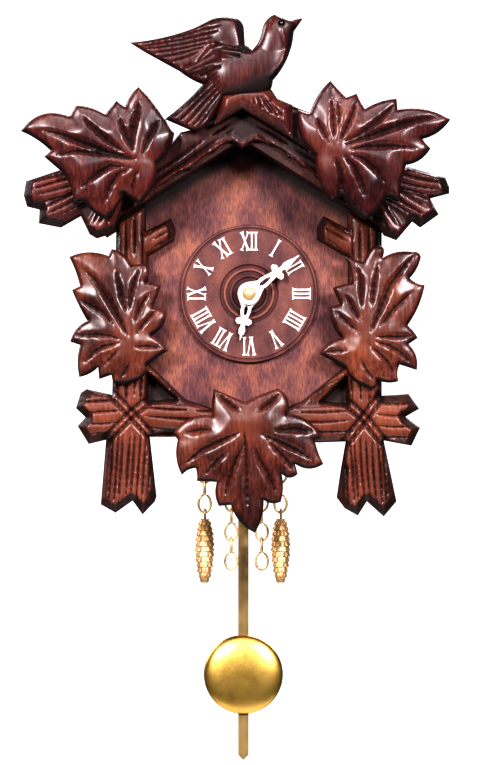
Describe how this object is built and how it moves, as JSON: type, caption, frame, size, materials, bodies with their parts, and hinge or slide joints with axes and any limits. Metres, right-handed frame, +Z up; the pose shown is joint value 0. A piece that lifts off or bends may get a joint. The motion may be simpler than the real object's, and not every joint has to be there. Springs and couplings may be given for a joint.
{
  "type": "carved pendulum wall clock",
  "caption": "Miniature carved wooden wall clock with a leaf surround and bird crest, a round dial with two hands, a spring movement, a short pendulum and hanging chains with cones.",
  "frame": {"origin": "centre of the hanger hole, in the plane of the wall", "axes": "+Z up, +Y towards the wall, +X to the viewer's right as the dial is read"},
  "size_m": [0.1214, 0.072, 0.2168],
  "materials": {
    "carved_wood": "gloss lacquer over dark red-brown stain",
    "panel_wood": "satin lacquer, mottled red-brown",
    "case_wood": "satin lacquer",
    "back_wood": "plain, unstained",
    "dial_wood": "turned, satin",
    "numeral_white": "matt white",
    "hand_white": "matt white",
    "bob_brass": "satin",
    "rod_brass": "dull bronze brown",
    "chain_brass": "bright",
    "movement_brass": "brushed",
    "hanger_brass": "plain",
    "steel": "polished",
    "spring_steel": "blued",
    "key_steel": "nickel plate"
  },
  "bodies": {
    "case": {"back_panel": "back_wood", "bird": "carved_wood", "bottom_board": "case_wood", "bottom_leaf": "carved_wood", "case_screws": "steel", "chain_hooks": "chain_brass", "click_screw": "steel", "crest_rail": "carved_wood", "dial": "dial_wood", "dial_numerals": "numeral_white", "front_board": "panel_wood", "gable_trim": "carved_wood", "hanger_block": "back_wood", "hanger_plate": "hanger_brass", "left_side_wall": "case_wood", "movement_back_plate": "movement_brass", "movement_front_plate": "movement_brass", "movement_pillars": "movement_brass", "movement_screws": "steel", "panel_battens": "back_wood", "plate_screws": "steel", "right_side_wall": "case_wood", "roof_leaf_left": "carved_wood", "roof_leaf_right": "carved_wood", "roof_left": "case_wood", "roof_log_left": "carved_wood", "roof_log_right": "carved_wood", "roof_right": "case_wood", "side_leaf_left": "carved_wood", "side_leaf_right": "carved_wood", "surround_left": "carved_wood", "surround_right": "carved_wood", "suspension_cock": "movement_brass"},
    "minute_hand": {"centre_wheel": "movement_brass", "cannon_pinion": "movement_brass", "minute_hand": "hand_white", "hand_nut": "movement_brass"},
    "hour_hand": {"hour_wheel": "movement_brass", "hour_hand": "hand_white"},
    "minute_wheel": {"minute_wheel": "movement_brass"},
    "third_wheel": {"third_wheel": "movement_brass"},
    "fourth_wheel": {"fourth_wheel": "movement_brass"},
    "escape_wheel": {"escape_wheel": "movement_brass"},
    "barrel": {"barrel": "movement_brass", "mainspring": "spring_steel"},
    "winding": {"winding_arbor": "steel", "ratchet_wheel": "movement_brass", "winding_key": "key_steel"},
    "click": {"click": "steel"},
    "pendulum": {"pendulum_rod": "rod_brass"},
    "bob": {"pendulum_bob": "bob_brass", "bob_clip": "movement_brass"},
    "anchor": {"anchor": "steel", "crutch": "steel"},
    "chain_left_cone": {"chain_left_cone": "chain_brass"},
    "chain_right_cone": {"chain_right_cone": "chain_brass"},
    "chain_left_bare": {"chain_left_bare": "chain_brass"},
    "chain_right_bare": {"chain_right_bare": "chain_brass"},
    "cone_left": {"cone_left": "chain_brass"},
    "cone_right": {"cone_right": "chain_brass"}
  },
  "joints": [
    {"name": "minute_hand_turn", "type": "hinge", "parent": "case", "child": "minute_hand", "pos_m": [0, -0.03, -0.0345], "axis": [0, 1, 0], "continuous": true},
    {"name": "hour_hand_turn", "type": "hinge", "parent": "case", "child": "hour_hand", "pos_m": [0, -0.03, -0.0345], "axis": [0, 1, 0], "continuous": true},
    {"name": "minute_wheel_turn", "type": "hinge", "parent": "case", "child": "minute_wheel", "pos_m": [-0.00653, -0.03, -0.03754], "axis": [0, 1, 0], "continuous": true},
    {"name": "barrel_turn", "type": "hinge", "parent": "case", "child": "barrel", "pos_m": [0.01149, -0.03, -0.04414], "axis": [0, 1, 0], "continuous": true},
    {"name": "third_wheel_turn", "type": "hinge", "parent": "case", "child": "third_wheel", "pos_m": [-0.01148, -0.03, -0.03099], "axis": [0, 1, 0], "continuous": true},
    {"name": "fourth_wheel_turn", "type": "hinge", "parent": "case", "child": "fourth_wheel", "pos_m": [-0.0086, -0.03, -0.0212], "axis": [0, 1, 0], "continuous": true},
    {"name": "escape_wheel_turn", "type": "hinge", "parent": "case", "child": "escape_wheel", "pos_m": [-0.0016, -0.03, -0.022], "axis": [0, 1, 0], "continuous": true},
    {"name": "winding_key_turn", "type": "hinge", "parent": "case", "child": "winding", "pos_m": [0.01149, -0.03, -0.04414], "axis": [0, -1, 0], "range_deg": [0, 1890]},
    {"name": "click_lift", "type": "hinge", "parent": "case", "child": "click", "pos_m": [0.01957, -0.03, -0.0412], "axis": [0, 1, 0], "range_deg": [0, 10], "stiffness_Nm_per_rad": 0.0005},
    {"name": "pendulum_swing", "type": "hinge", "parent": "case", "child": "pendulum", "pos_m": [-0.0016, -0.0165, -0.015], "axis": [0, 1, 0], "range_deg": [-6, 6]},
    {"name": "anchor_rock", "type": "hinge", "parent": "case", "child": "anchor", "pos_m": [-0.0016, -0.0165, -0.015], "axis": [0, 1, 0], "range_deg": [-6, 6]},
    {"name": "bob_slide", "type": "slide", "parent": "pendulum", "child": "bob", "axis": [0, 0, 1], "range_m": [-0.008, 0.01]},
    {"name": "chain_left_cone_swing", "type": "hinge", "parent": "case", "child": "chain_left_cone", "pos_m": [-0.013, -0.033, -0.08105], "axis": [1, 0, 0], "range_deg": [-8, 8]},
    {"name": "chain_right_cone_swing", "type": "hinge", "parent": "case", "child": "chain_right_cone", "pos_m": [0.0093, -0.033, -0.08105], "axis": [1, 0, 0], "range_deg": [-8, 8]},
    {"name": "chain_left_bare_swing", "type": "hinge", "parent": "case", "child": "chain_left_bare", "pos_m": [-0.0052, -0.025, -0.08105], "axis": [1, 0, 0], "range_deg": [-8, 8]},
    {"name": "chain_right_bare_swing", "type": "hinge", "parent": "case", "child": "chain_right_bare", "pos_m": [0.0038, -0.025, -0.08105], "axis": [1, 0, 0], "range_deg": [-8, 8]},
    {"name": "cone_left_swing", "type": "hinge", "parent": "chain_left_cone", "child": "cone_left", "pos_m": [-0.013, -0.033, -0.09835], "axis": [1, 0, 0], "range_deg": [-10, 10]},
    {"name": "cone_right_swing", "type": "hinge", "parent": "chain_right_cone", "child": "cone_right", "pos_m": [0.0093, -0.033, -0.09835], "axis": [1, 0, 0], "range_deg": [-10, 10]}
  ],
  "couplings": [
    {"joint": "hour_hand_turn", "follows": "minute_hand_turn", "ratio": 0.083333},
    {"joint": "minute_wheel_turn", "follows": "minute_hand_turn", "ratio": -0.33333},
    {"joint": "barrel_turn", "follows": "minute_hand_turn", "ratio": -0.19048},
    {"joint": "third_wheel_turn", "follows": "minute_hand_turn", "ratio": -9},
    {"joint": "fourth_wheel_turn", "follows": "minute_hand_turn", "ratio": 67.5},
    {"joint": "escape_wheel_turn", "follows": "minute_hand_turn", "ratio": -329.06},
    {"joint": "anchor_rock", "follows": "pendulum_swing", "ratio": 1}
  ]
}
